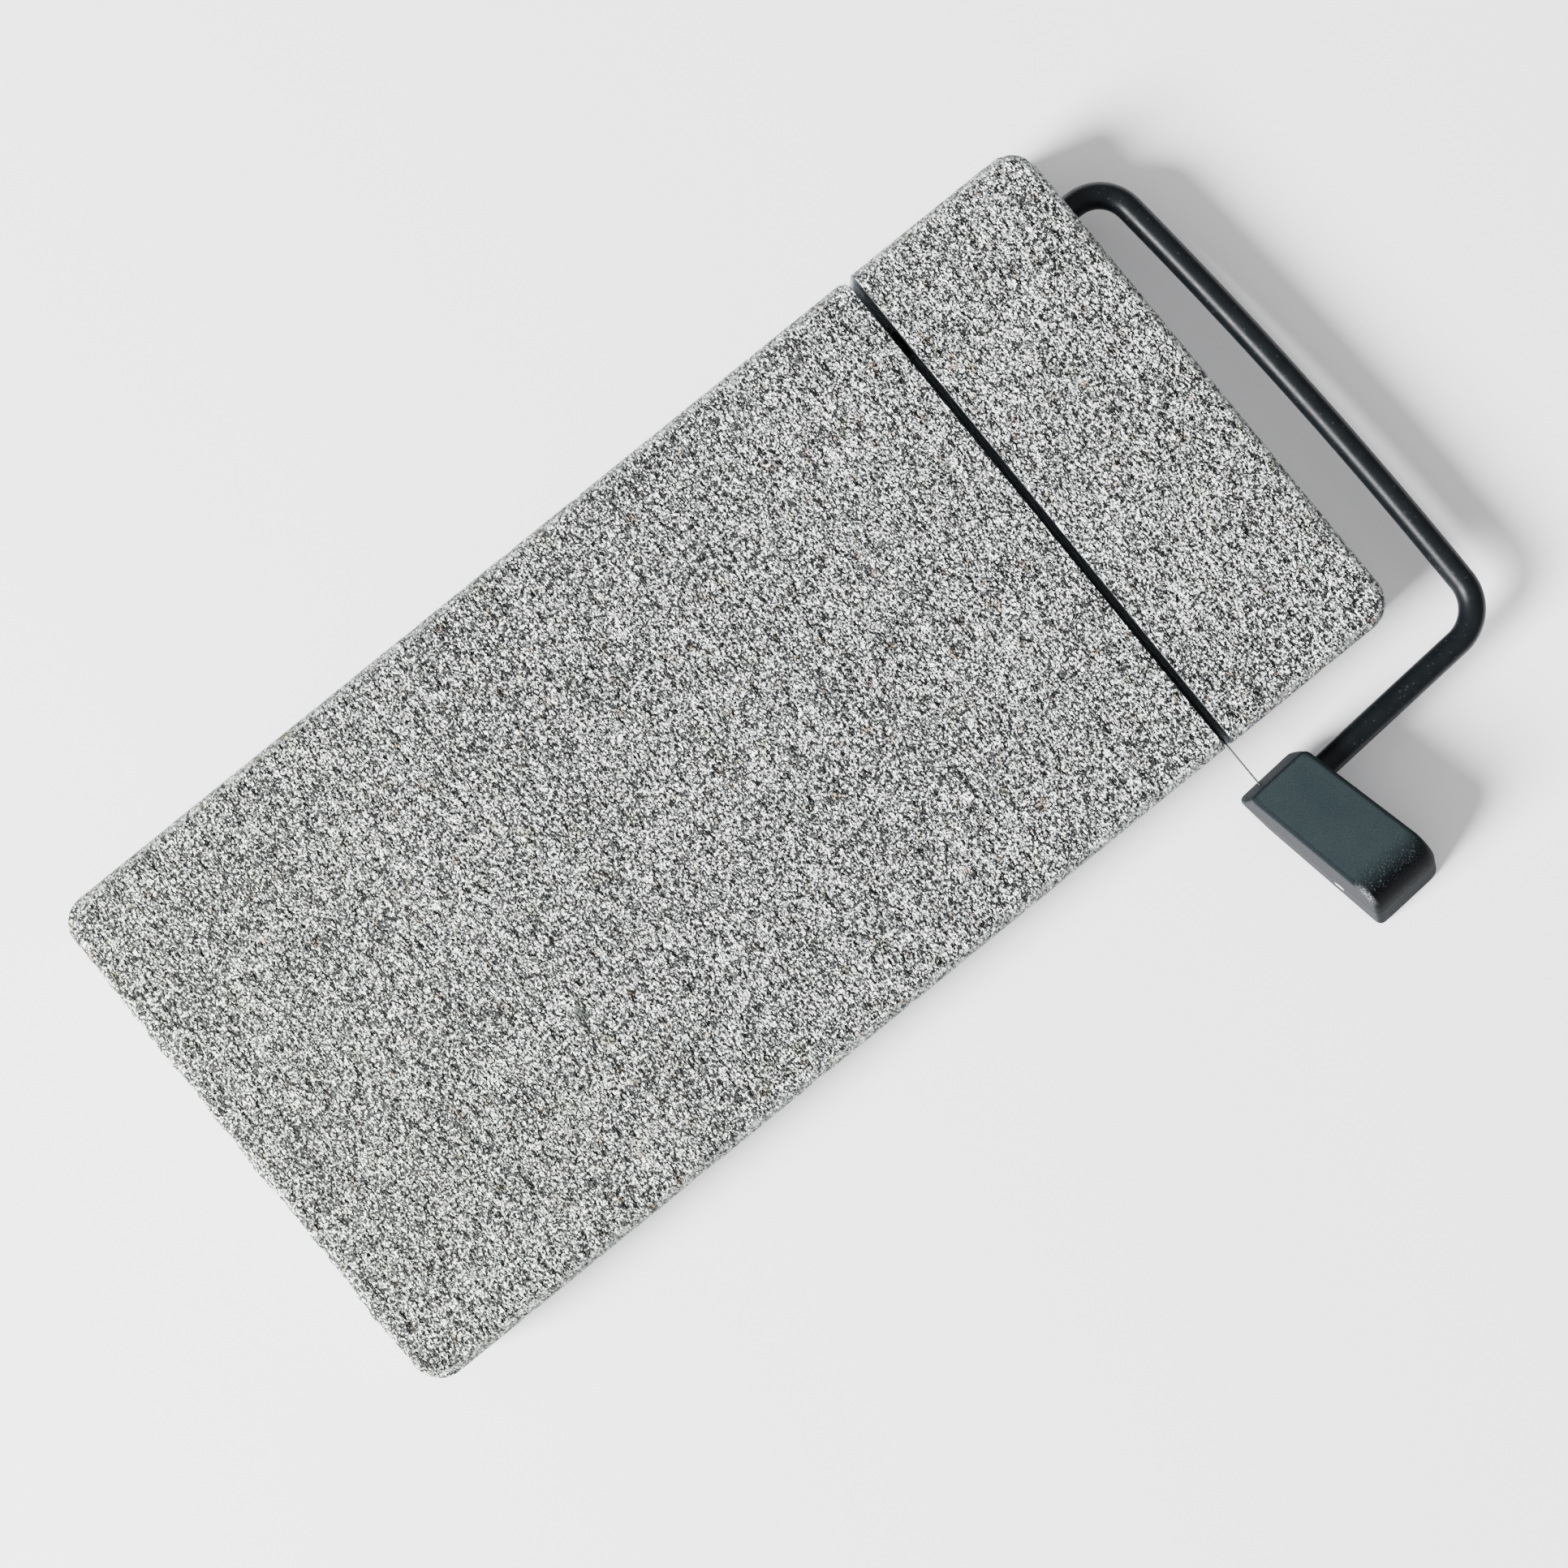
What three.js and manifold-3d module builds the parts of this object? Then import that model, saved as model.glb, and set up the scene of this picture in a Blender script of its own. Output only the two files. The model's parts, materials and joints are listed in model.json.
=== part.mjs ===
// Granite cheese slicer: a stone slab with a wire bow hinged in its end.
// Millimetres. x runs along the slab towards the bow, y across it towards the hinge, z up.
// The pieces are placed about the slab's centre, with z = 0 on the plane that the feet stand on.

import * as THREE from 'three';
import { mergeVertices } from 'three/addons/utils/BufferGeometryUtils.js';
import Module from 'manifold-3d';

const wasm = await Module();
wasm.setup();

// Slab and feet
const slabLength = 250;
const slabWidth = 122.2;
const slabThickness = 15;
const slabCornerRadius = 6.5;
const slabEdgeRadius = 2.5;
const footHeight = 3;
const footRadius = 5;
const footInset = 19;
const footFlare = 0.5;
const footEdge = 0.8;
const footChamfer = 0.3 * footEdge;
const slabTop = footHeight + slabThickness;

// Slot that the wire drops into
const slotWidth = 2;
const slotDepth = 10.5;
const slotX = 80.7;

// Hinge bore
const pivotY = 44.5;
const pivotZ = slabTop - slabThickness / 2;
const runningGap = 0.3;
const rodRadius = 2.75;
const sleeveWall = 0.95;
const sleeveRadius = rodRadius + runningGap + sleeveWall;
const boreRadius = sleeveRadius + runningGap;
const rodBearingLength = 6;

// Bow, seen from above with the bow closed
const hingeBendRadius = 8.4;
const handleBendRadius = 9.4;
const legBowRadius = 1070;
const hingeCornerX = slabLength / 2 + 10.1;
const legLean = 4.9;
const legBow = 2.85;
const returnLegY = -74.1;
const returnLegAngle = THREE.MathUtils.degToRad(3.65);

// Cutting wire and the ferrules crimped to its ends
const wireRadius = 0.2;
const wireHoleRadius = 0.5;
const wirePivotX = slotX - 0.1;
const wireHandleX = slotX + 0.8;
const wireSides = 12;
const ferruleRadius = 0.7;
const ferruleBore = 0.35;
const ferruleSides = 20;
const pivotFerruleLength = 1.5;
const handleFerruleLength = 3;
const wireStub = 0.6;

// Handle: s runs outwards from its inner end, t across it towards the return leg, u up
const handleInnerY = -71.7;
const rodFromInnerEnd = 6;
const handleTop = 7.6;
const handleBottom = -10.2;
const partingGap = 0.1;
const shellWall = 1.8;
const shellCornerRadius = 1.7;
const noseFarCornerRadius = 4;
const shellEdgeRadius = 1.2;
const nearSide = -5.2;
const nearSideLean = 0.132;
const farSide = 10.9;
const farSideLean = 0.175;
const sideDraft = 0.06;
const noseStart = 27.6;
const noseBend = 32.4;
const noseEnd = 35.9;
const skirtSlope = 0.41;
const heelDepth = -5.6;
const heelRun = 13;
const heelPinch = 0.12;
const heelPinchLength = 20;
const solidBlockEnd = 13.2;
const rodEndT = -2.2;
const noseHeights = [1.2, 2.4, 3.5, 4.5];
const heelHeights = [-8, -7, heelDepth, -3];
const shellEdgeSteps = 6;
const cornerSteps = 6;
const noseWall = 1.1 * shellWall;
const pastParting = 1;
const pastRod = 5;

// Shell screws, driven from below
const screwRadius = 1.1;
const screwHeadRadius = 2.2;
const screwHeadHeight = 1.6;
const screwSeat = -5.4;
const screwReach = 4.4;
const screwBossRadius = 3;
const screwBossGap = 0.6;
const screwHeadFlat = 0.8 * screwHeadRadius;
const screwHeadRim = 0.7 * screwHeadHeight;
const screwPlaces = [
  { s: 11.3, t: 7.6 },
  { s: 29.5, t: 8.6 },
];

// Facets around turned pieces and around drilled holes
const roundSides = 32;
const holeSides = 24;

const up = new THREE.Vector3(0, 1, 0);

function material(color, roughness, metalness) {
  return new THREE.MeshStandardMaterial({ color, roughness, metalness });
}

const granite = material(0xc4c8c4, 0.7, 0);
const powderCoat = material(0x17191b, 0.45, 0.1);
const mouldedPlastic = material(0x3d484a, 0.72, 0);
const nylon = material(0xd8d4c8, 0.6, 0);
const steel = material(0xb9bcc0, 0.3, 1);
const zincSteel = material(0xa9adb2, 0.4, 1);
const rubber = material(0x202224, 0.9, 0);

function toManifold(geometry) {
  const bare = geometry.clone();
  bare.deleteAttribute('normal');
  bare.deleteAttribute('uv');
  const merged = mergeVertices(bare, 1e-4);
  const mesh = new wasm.Mesh({
    numProp: 3,
    vertProperties: Float32Array.from(merged.attributes.position.array),
    triVerts: Uint32Array.from(merged.index.array),
  });
  return new wasm.Manifold(mesh);
}

function toGeometry(manifold) {
  const mesh = manifold.getMesh();
  const geometry = new THREE.BufferGeometry();
  geometry.setAttribute('position', new THREE.BufferAttribute(mesh.vertProperties, 3));
  geometry.setIndex(new THREE.BufferAttribute(mesh.triVerts, 1));
  geometry.computeVertexNormals();
  return geometry;
}

function cut(body, tools) {
  let solid = toManifold(body);
  for (const tool of tools) {
    solid = solid.subtract(toManifold(tool));
  }
  return toGeometry(solid);
}

function box(xMin, xMax, yMin, yMax, zMin, zMax) {
  const geometry = new THREE.BoxGeometry(xMax - xMin, yMax - yMin, zMax - zMin);
  return geometry.translate((xMin + xMax) / 2, (yMin + yMax) / 2, (zMin + zMax) / 2);
}

// A round bar from one point to another
function bar(from, to, radius, sides = holeSides) {
  const axis = new THREE.Vector3().subVectors(to, from);
  const geometry = new THREE.CylinderGeometry(radius, radius, axis.length(), sides);
  const turn = new THREE.Quaternion().setFromUnitVectors(up, axis.clone().normalize());
  const middle = new THREE.Vector3().addVectors(from, to).multiplyScalar(0.5);
  return geometry.applyQuaternion(turn).translate(middle.x, middle.y, middle.z);
}

// A round tube from one point to another
function sleeve(from, to, outerRadius, innerRadius, sides = roundSides) {
  const axis = new THREE.Vector3().subVectors(to, from);
  const length = axis.length();
  const profile = [
    new THREE.Vector2(innerRadius, 0),
    new THREE.Vector2(outerRadius, 0),
    new THREE.Vector2(outerRadius, length),
    new THREE.Vector2(innerRadius, length),
    new THREE.Vector2(innerRadius, 0),
  ];
  const geometry = new THREE.LatheGeometry(profile, sides);
  const turn = new THREE.Quaternion().setFromUnitVectors(up, axis.normalize());
  return geometry.applyQuaternion(turn).translate(from.x, from.y, from.z);
}

function roundedRectangle(length, width, radius) {
  const shape = new THREE.Shape();
  const right = length / 2 - radius;
  const top = width / 2 - radius;
  shape.absarc(right, top, radius, 0, Math.PI / 2);
  shape.absarc(-right, top, radius, Math.PI / 2, Math.PI);
  shape.absarc(-right, -top, radius, Math.PI, 1.5 * Math.PI);
  shape.absarc(right, -top, radius, 1.5 * Math.PI, 2 * Math.PI);
  return shape;
}

// Slab: rounded stone plate, slotted right across and bored lengthwise for the hinge
function makeSlab() {
  const outline = roundedRectangle(slabLength, slabWidth, slabCornerRadius);
  const plate = new THREE.ExtrudeGeometry(outline, {
    depth: slabThickness - 2 * slabEdgeRadius,
    bevelThickness: slabEdgeRadius,
    bevelSize: slabEdgeRadius,
    bevelOffset: -slabEdgeRadius,
    bevelSegments: 6,
    curveSegments: 10,
  });
  plate.translate(0, 0, footHeight + slabEdgeRadius);
  const slot = box(
    slotX - slotWidth / 2,
    slotX + slotWidth / 2,
    -slabWidth,
    slabWidth,
    slabTop - slotDepth,
    slabTop + slotDepth,
  );
  const slotCentre = new THREE.Vector3(slotX, pivotY, pivotZ);
  const mouth = new THREE.Vector3(slabLength, pivotY, pivotZ);
  const blindEnd = new THREE.Vector3(rodStartX() - runningGap, pivotY, pivotZ);
  const sleeveBore = bar(slotCentre, mouth, boreRadius, roundSides);
  const bearingBore = bar(blindEnd, slotCentre, rodRadius + runningGap, roundSides);
  return cut(plate, [slot, sleeveBore, bearingBore]);
}

function rodStartX() {
  return slotX - slotWidth / 2 - rodBearingLength;
}

function makeSleeve() {
  const inner = new THREE.Vector3(slotX + slotWidth / 2 + runningGap, pivotY, pivotZ);
  const outer = new THREE.Vector3(slabLength / 2 - runningGap, pivotY, pivotZ);
  return sleeve(inner, outer, sleeveRadius, rodRadius + runningGap);
}

function makeFoot() {
  const profile = [
    new THREE.Vector2(0, 0),
    new THREE.Vector2(footRadius - footEdge, 0),
    new THREE.Vector2(footRadius - footChamfer, footChamfer),
    new THREE.Vector2(footRadius, footEdge),
    new THREE.Vector2(footRadius + footFlare, footHeight),
    new THREE.Vector2(0, footHeight),
  ];
  return new THREE.LatheGeometry(profile, roundSides).rotateX(Math.PI / 2);
}

// A path through the given corners, each rounded to its own radius
function roundedPath(corners, radii) {
  const path = new THREE.Path();
  path.moveTo(corners[0].x, corners[0].y);
  for (let i = 1; i < corners.length - 1; i += 1) {
    const back = new THREE.Vector2().subVectors(corners[i - 1], corners[i]).normalize();
    const ahead = new THREE.Vector2().subVectors(corners[i + 1], corners[i]).normalize();
    const halfTurn = (Math.PI - Math.acos(back.dot(ahead))) / 2;
    const reach = radii[i - 1] * Math.tan(halfTurn);
    const start = corners[i].clone().addScaledVector(back, reach);
    const end = corners[i].clone().addScaledVector(ahead, reach);
    const inward = new THREE.Vector2().addVectors(back, ahead).normalize();
    const centre = corners[i].clone().addScaledVector(inward, radii[i - 1] / Math.cos(halfTurn));
    const startAngle = Math.atan2(start.y - centre.y, start.x - centre.x);
    const endAngle = Math.atan2(end.y - centre.y, end.x - centre.x);
    path.lineTo(start.x, start.y);
    path.absarc(centre.x, centre.y, radii[i - 1], startAngle, endAngle, back.cross(ahead) > 0);
  }
  const last = corners[corners.length - 1];
  path.lineTo(last.x, last.y);
  return path;
}

class LevelCurve extends THREE.Curve {
  constructor(path, height) {
    super();
    this.path = path;
    this.height = height;
  }

  getPoint(share) {
    const point = this.path.getPoint(share);
    return new THREE.Vector3(point.x, point.y, this.height);
  }
}

const bowCorner = new THREE.Vector2(hingeCornerX, pivotY);
const handleCorner = new THREE.Vector2(hingeCornerX + legLean, returnLegY);
const returnDirection = new THREE.Vector2(-Math.cos(returnLegAngle), -Math.sin(returnLegAngle));

// Handle frame: s outwards along the handle, t towards the return leg, u up from the rod's axis
const wireEntry = new THREE.Vector3(wireHandleX, handleInnerY, pivotZ);
const acrossHandle = new THREE.Vector3(-returnDirection.x, -returnDirection.y, 0);
const alongHandle = new THREE.Vector3(-returnDirection.y, returnDirection.x, 0);

function handlePoint(s, t, u) {
  const point = wireEntry.clone().addScaledVector(alongHandle, s).addScaledVector(acrossHandle, t);
  point.z += u;
  return point;
}

// Bow: one bent steel rod, cross-drilled for the wire and counterbored for the wire's hinge ferrule
function makeRod() {
  const start = new THREE.Vector2(rodStartX(), pivotY);
  const middle = new THREE.Vector2().addVectors(bowCorner, handleCorner).multiplyScalar(0.5);
  middle.x += legBow;
  const tip = handlePoint(rodFromInnerEnd, rodEndT, 0);
  const end = new THREE.Vector2(tip.x, tip.y);
  const radii = [hingeBendRadius, legBowRadius, handleBendRadius];
  const path = roundedPath([start, bowCorner, middle, handleCorner, end], radii);
  const section = new THREE.Shape().absarc(0, 0, rodRadius, 0, 2 * Math.PI);
  const rod = new THREE.ExtrudeGeometry(section, {
    steps: 96,
    curveSegments: 8,
    extrudePath: new LevelCurve(path, pivotZ),
  });
  const wireHole = wireLine(-2 * rodRadius, 2 * rodRadius, wireHoleRadius);
  const counterboreFrom = onWire(pivotFerruleFrom - rodRadius);
  const counterboreTo = onWire(pivotFerruleFrom + pivotFerruleLength + runningGap);
  const counterbore = bar(counterboreFrom, counterboreTo, ferruleRadius + runningGap);
  return cut(rod, [wireHole, counterbore]);
}

// Wire line: from the ferrule sunk in the hinge end of the rod to the ferrule beyond the return leg
const wirePivot = new THREE.Vector3(wirePivotX, pivotY, pivotZ);
const wireDirection = new THREE.Vector3().subVectors(wireEntry, wirePivot).normalize();
const wireSpan = wirePivot.distanceTo(wireEntry);
const ferruleClearance = rodRadius + runningGap;
const pivotFerruleFrom = -rodRadius + runningGap;
const handleFerruleFrom = wireSpan + rodFromInnerEnd + ferruleClearance;

function onWire(distance) {
  return wirePivot.clone().addScaledVector(wireDirection, distance);
}

// A bar along the wire, from one place on it to another that is measured from the return leg's axis
function wireLine(from, beyondRod, radius, sides = 16) {
  return bar(onWire(from), onWire(wireSpan + rodFromInnerEnd + beyondRod), radius, sides);
}

function makeWire() {
  const pivotEnd = pivotFerruleFrom - runningGap / 2;
  const handleEnd = ferruleClearance + handleFerruleLength + wireStub;
  return wireLine(pivotEnd, handleEnd, wireRadius, wireSides);
}

function makeFerrule(from, length) {
  return sleeve(onWire(from), onWire(from + length), ferruleRadius, ferruleBore, ferruleSides);
}

// One level of the handle: an outline of four rounded corners at height u
function handleLevel(u, inner, outer, inset) {
  const draft = sideDraft * Math.max(0, u);
  const pinch = heelPinch * Math.max(0, -u);
  const pinchAt = (s) => pinch * Math.max(0, 1 - s / heelPinchLength);
  const near = (s) => nearSide + nearSideLean * s + draft + inset + pinchAt(s);
  const far = (s) => farSide + farSideLean * s - draft - inset;
  const small = shellCornerRadius;
  const radii = [small, small, noseFarCornerRadius, small];
  const corners = [
    new THREE.Vector2(inner, near(inner)),
    new THREE.Vector2(outer, near(outer)),
    new THREE.Vector2(outer, far(outer)),
    new THREE.Vector2(inner, far(inner)),
  ];
  const points = [];
  for (let i = 0; i < 4; i += 1) {
    const back = new THREE.Vector2().subVectors(corners[(i + 3) % 4], corners[i]).normalize();
    const ahead = new THREE.Vector2().subVectors(corners[(i + 1) % 4], corners[i]).normalize();
    const start = corners[i].clone().addScaledVector(back, radii[i]);
    const end = corners[i].clone().addScaledVector(ahead, radii[i]);
    const curve = new THREE.QuadraticBezierCurve(start, corners[i], end);
    points.push(...curve.getPoints(cornerSteps));
  }
  return points.map((point) => handlePoint(point.x, point.y, u));
}

// A solid through levels listed from the lowest to the highest
function stack(levels) {
  const count = levels[0].length;
  const vertices = levels.flat();
  const triangles = [];
  for (let k = 0; k < levels.length - 1; k += 1) {
    for (let i = 0; i < count; i += 1) {
      const a = k * count + i;
      const b = k * count + ((i + 1) % count);
      triangles.push(a, b, b + count, a, b + count, a + count);
    }
  }
  const topStart = (levels.length - 1) * count;
  for (let i = 1; i < count - 1; i += 1) {
    triangles.push(0, i + 1, i);
    triangles.push(topStart, topStart + i, topStart + i + 1);
  }
  const geometry = new THREE.BufferGeometry().setFromPoints(vertices);
  geometry.setIndex(triangles);
  return geometry;
}

// Outer end of the handle at height u: a swept nose above the parting line, a flared skirt below it
function noseAt(u) {
  if (u <= 0) {
    return noseEnd - skirtSlope * u;
  }
  const share = Math.sqrt(Math.max(0, 1 - u / handleTop));
  const rest = 1 - share;
  return rest * rest * noseStart + 2 * share * rest * noseBend + share * share * noseEnd;
}

// Inner end of the handle at height u: upright, then a sloping heel under the rod
function heelAt(u) {
  if (u >= heelDepth) {
    return 0;
  }
  const share = (u - heelDepth) / (handleBottom - heelDepth);
  return heelRun * share * share;
}

function upperLevels(wall, floor) {
  const top = handleTop - wall;
  const roundStart = top - shellEdgeRadius;
  const levels = [floor, ...noseHeights].map((u) => ({ u, round: 0 }));
  for (let i = 0; i <= shellEdgeSteps; i += 1) {
    const angle = (i / shellEdgeSteps) * (Math.PI / 2);
    const round = shellEdgeRadius * (1 - Math.cos(angle));
    levels.push({ u: roundStart + shellEdgeRadius * Math.sin(angle), round });
  }
  return levels.map(({ u, round }) => {
    const inner = wall === 0 ? round : solidBlockEnd;
    const outer = noseAt(Math.min(u + wall, handleTop)) - (wall && noseWall);
    return handleLevel(u, inner, outer, wall + round);
  });
}

function lowerLevels(wall, ceiling) {
  const bottom = handleBottom + wall;
  const roundStart = bottom + shellEdgeRadius;
  const levels = [];
  for (let i = shellEdgeSteps; i >= 0; i -= 1) {
    const angle = (i / shellEdgeSteps) * (Math.PI / 2);
    const round = shellEdgeRadius * (1 - Math.cos(angle));
    levels.push({ u: roundStart - shellEdgeRadius * Math.sin(angle), round });
  }
  for (const u of [...heelHeights, ceiling]) {
    levels.push({ u, round: 0 });
  }
  return levels
    .filter(({ u }, i) => i <= shellEdgeSteps || u > roundStart)
    .map(({ u, round }) => {
      const inner = wall === 0 ? heelAt(u) + round : solidBlockEnd;
      const outer = noseAt(u) - round - (wall && noseWall);
      return handleLevel(u, inner, outer, wall + round);
    });
}

function screwBoss(place, radius, from, to) {
  return bar(handlePoint(place.s, place.t, from), handlePoint(place.s, place.t, to), radius);
}

function shellCuts() {
  const rodEnd = handlePoint(rodFromInnerEnd, rodEndT - runningGap, 0);
  const rodOutside = handlePoint(rodFromInnerEnd, slabWidth / 2, 0);
  const rodChannel = bar(rodEnd, rodOutside, rodRadius + runningGap);
  const wireHole = wireLine(wireSpan - pastRod, ferruleClearance, wireHoleRadius);
  const pocketFrom = onWire(handleFerruleFrom - runningGap);
  const pocketTo = onWire(handleFerruleFrom + handleFerruleLength + wireStub + runningGap);
  const ferrulePocket = bar(pocketFrom, pocketTo, ferruleRadius + runningGap);
  return [rodChannel, wireHole, ferrulePocket];
}

function makeUpperShell() {
  const body = stack(upperLevels(0, partingGap));
  const hollow = stack(upperLevels(shellWall, -pastParting));
  const outerScrew = screwPlaces[1];
  const cavity = cut(hollow, [screwBoss(outerScrew, screwBossRadius, -pastRod, handleTop)]);
  const pilots = screwPlaces.map((place) =>
    screwBoss(place, screwRadius + runningGap, -pastRod, screwReach + runningGap),
  );
  return cut(body, [cavity, ...pilots, ...shellCuts()]);
}

function makeLowerShell() {
  const body = stack(lowerLevels(0, -partingGap));
  const hollow = stack(lowerLevels(shellWall, pastParting));
  const outerScrew = screwPlaces[1];
  const bossRadius = screwBossRadius + screwBossGap;
  const cavity = cut(hollow, [screwBoss(outerScrew, bossRadius, 2 * handleBottom, pastRod)]);
  const shanks = screwPlaces.map((place) =>
    screwBoss(place, screwRadius + runningGap, 2 * handleBottom, pastRod),
  );
  const headWells = screwPlaces.map((place) =>
    screwBoss(place, screwHeadRadius + runningGap, 2 * handleBottom, screwSeat),
  );
  return cut(body, [cavity, ...shanks, ...headWells, ...shellCuts()]);
}

function makeScrew(place) {
  const seat = screwSeat - runningGap;
  const profile = [
    new THREE.Vector2(0, seat - screwHeadHeight),
    new THREE.Vector2(screwHeadFlat, seat - screwHeadHeight),
    new THREE.Vector2(screwHeadRadius, seat - screwHeadRim),
    new THREE.Vector2(screwHeadRadius, seat),
    new THREE.Vector2(screwRadius, seat),
    new THREE.Vector2(screwRadius, screwReach - screwRadius),
    new THREE.Vector2(0, screwReach),
  ];
  const centre = handlePoint(place.s, place.t, 0);
  const geometry = new THREE.LatheGeometry(profile, holeSides).rotateX(Math.PI / 2);
  return geometry.translate(centre.x, centre.y, centre.z);
}

const slicer = new THREE.Group();

function add(name, geometry, look) {
  const mesh = new THREE.Mesh(geometry, look);
  mesh.name = name;
  slicer.add(mesh);
  return mesh;
}

add('granite_slab', makeSlab(), granite);
add('pivot_sleeve', makeSleeve(), nylon);
for (const [i, side] of [[1, 1], [1, -1], [-1, 1], [-1, -1]].entries()) {
  const foot = add(`rubber_foot_${i + 1}`, makeFoot(), rubber);
  const footX = side[0] * (slabLength / 2 - footInset);
  const footY = side[1] * (slabWidth / 2 - footInset);
  foot.geometry.translate(footX, footY, 0);
}
add('bow_rod', makeRod(), powderCoat);
add('cutting_wire', makeWire(), steel);
add('pivot_ferrule', makeFerrule(pivotFerruleFrom, pivotFerruleLength), zincSteel);
add('handle_ferrule', makeFerrule(handleFerruleFrom, handleFerruleLength), zincSteel);
add('handle_upper_shell', makeUpperShell(), mouldedPlastic);
add('handle_lower_shell', makeLowerShell(), mouldedPlastic);
for (const [i, place] of screwPlaces.entries()) {
  add(`handle_screw_${i + 1}`, makeScrew(place), zincSteel);
}

// The origin is the middle of the whole part's underside
const extent = new THREE.Box3().setFromObject(slicer);
const middle = extent.getCenter(new THREE.Vector3());
for (const piece of slicer.children) {
  piece.geometry.translate(-middle.x, -middle.y, 0);
}

export default slicer;
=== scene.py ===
"""Looks for the granite cheese slicer: stone slab, wire bow and moulded handle."""

import json
import math

import bmesh
import bpy
from mathutils import Matrix, Vector, noise


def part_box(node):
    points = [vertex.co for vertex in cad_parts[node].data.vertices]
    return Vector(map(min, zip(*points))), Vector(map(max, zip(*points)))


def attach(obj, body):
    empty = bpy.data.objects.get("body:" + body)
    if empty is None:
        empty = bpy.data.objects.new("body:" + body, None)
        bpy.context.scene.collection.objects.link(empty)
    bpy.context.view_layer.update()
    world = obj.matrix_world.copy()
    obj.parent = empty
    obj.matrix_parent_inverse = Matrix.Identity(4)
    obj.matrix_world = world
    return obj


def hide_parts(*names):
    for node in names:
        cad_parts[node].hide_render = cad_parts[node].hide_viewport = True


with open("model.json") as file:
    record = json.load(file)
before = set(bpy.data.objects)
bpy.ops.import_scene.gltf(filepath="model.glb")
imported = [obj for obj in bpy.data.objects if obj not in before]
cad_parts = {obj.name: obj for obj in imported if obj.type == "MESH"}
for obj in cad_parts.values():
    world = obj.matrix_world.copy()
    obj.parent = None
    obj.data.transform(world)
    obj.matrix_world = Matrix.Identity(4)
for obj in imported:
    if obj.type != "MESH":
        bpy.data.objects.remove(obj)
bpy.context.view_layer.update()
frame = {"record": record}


# --- measures ---------------------------------------------------------------------------------------
# Millimetres from the slab's centre; x towards the bow, y towards the hinge side, z up from the table.

MM = 0.001
slab_low, slab_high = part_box("granite_slab")
slab_mid = (slab_low + slab_high) / 2
SLAB_LENGTH, SLAB_WIDTH, SLAB_THICKNESS = (slab_high - slab_low) / MM
SLAB_BASE = slab_low.z / MM
SLAB_TOP = slab_high.z / MM
SLAB_CORNER = 6.5
SLAB_EDGE = 2.5
CORNER_STEPS = 12
SPLIT_DEPTH = 4.0

pivot = (Vector(frame["record"]["behaviour"]["joints"][0]["pos_m"]) - slab_mid) / MM
PIVOT_Y = pivot.y
PIVOT_Z = SLAB_BASE + SLAB_THICKNESS / 2

# Slot: it has one worn corner, and its arris is ragged, with small bites out of it
SLOT_X = pivot.x
SLOT_WIDTH = 2.0
SLOT_DEPTH = 10.5
SLOT_FLOOR = SLAB_TOP - SLOT_DEPTH
SLOT_WORN_LENGTH = 2.3
SLOT_WORN_DEPTH = 2.1
RAG = 0.07
RAG_BITE = 1.6
RAG_DEPTH = 0.35
RAG_REACH = 0.25

# Bow rod: its cross leg leans outwards and is bent to a long arc, its return leg is turned a little
GAP = 0.3
ROD_RADIUS = 2.75
SLEEVE_RADIUS = 4.0
BEARING_LENGTH = 6.0
ROD_START = SLOT_X - SLOT_WIDTH / 2 - BEARING_LENGTH
ROD_END_ROUND = 0.3
HINGE_CORNER_OUT = 10.1
LEG_LEAN = 4.9
RETURN_LEG_Y = -74.1
HINGE_CORNER = Vector((SLAB_LENGTH / 2 + HINGE_CORNER_OUT, PIVOT_Y))
HANDLE_CORNER = HINGE_CORNER + Vector((LEG_LEAN, -PIVOT_Y + RETURN_LEG_Y))
LEG_BOW = 2.85
HINGE_BEND, LEG_ARC, HANDLE_BEND = 8.4, 1070.0, 9.4
RETURN_ANGLE = math.radians(3.65)

# Wire and the ferrules on its ends
WIRE_RADIUS = 0.2
WIRE_HOLE = 0.5
FERRULE_RADIUS = 0.7
FERRULE_BORE = 0.35
FERRULE_ROUND = 0.12
PIVOT_FERRULE = 1.5
HANDLE_FERRULE = 3.0
WIRE_STUB = 0.6
WIRE_START_X = SLOT_X - 0.1
WIRE_ENTRY_X = SLOT_X + 0.8
HANDLE_INNER_Y = -71.7
WIRE_PIVOT = Vector((WIRE_START_X, PIVOT_Y, PIVOT_Z))
WIRE_ENTRY = Vector((WIRE_ENTRY_X, HANDLE_INNER_Y, PIVOT_Z))

# Handle: s outwards from its inner end, t across it towards the return leg, u up from the rod's axis
ACROSS = Vector((math.cos(RETURN_ANGLE), math.sin(RETURN_ANGLE), 0))
ALONG = Vector((math.sin(RETURN_ANGLE), -math.cos(RETURN_ANGLE), 0))
ROD_FROM_END = 6.0
ROD_END_T = -2.2
HANDLE_TOP = 7.6
HANDLE_BOTTOM = -10.2
PARTING = 0.1
WALL = 1.8
SHELL_CORNER = 1.7
FAR_CORNER = 4.0
SHELL_EDGE = 1.2
SHELL_EDGE_STEPS = 10
WALL_STEPS = 14

# Its long sides: t at the inner end, and how much t grows with s
NEAR_SIDE, NEAR_LEAN = -5.2, 0.132
FAR_SIDE, FAR_LEAN = 10.9, 0.175
SIDE_DRAFT = 0.06
HEEL_PINCH, HEEL_PINCH_LENGTH = 0.12, 20

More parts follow.
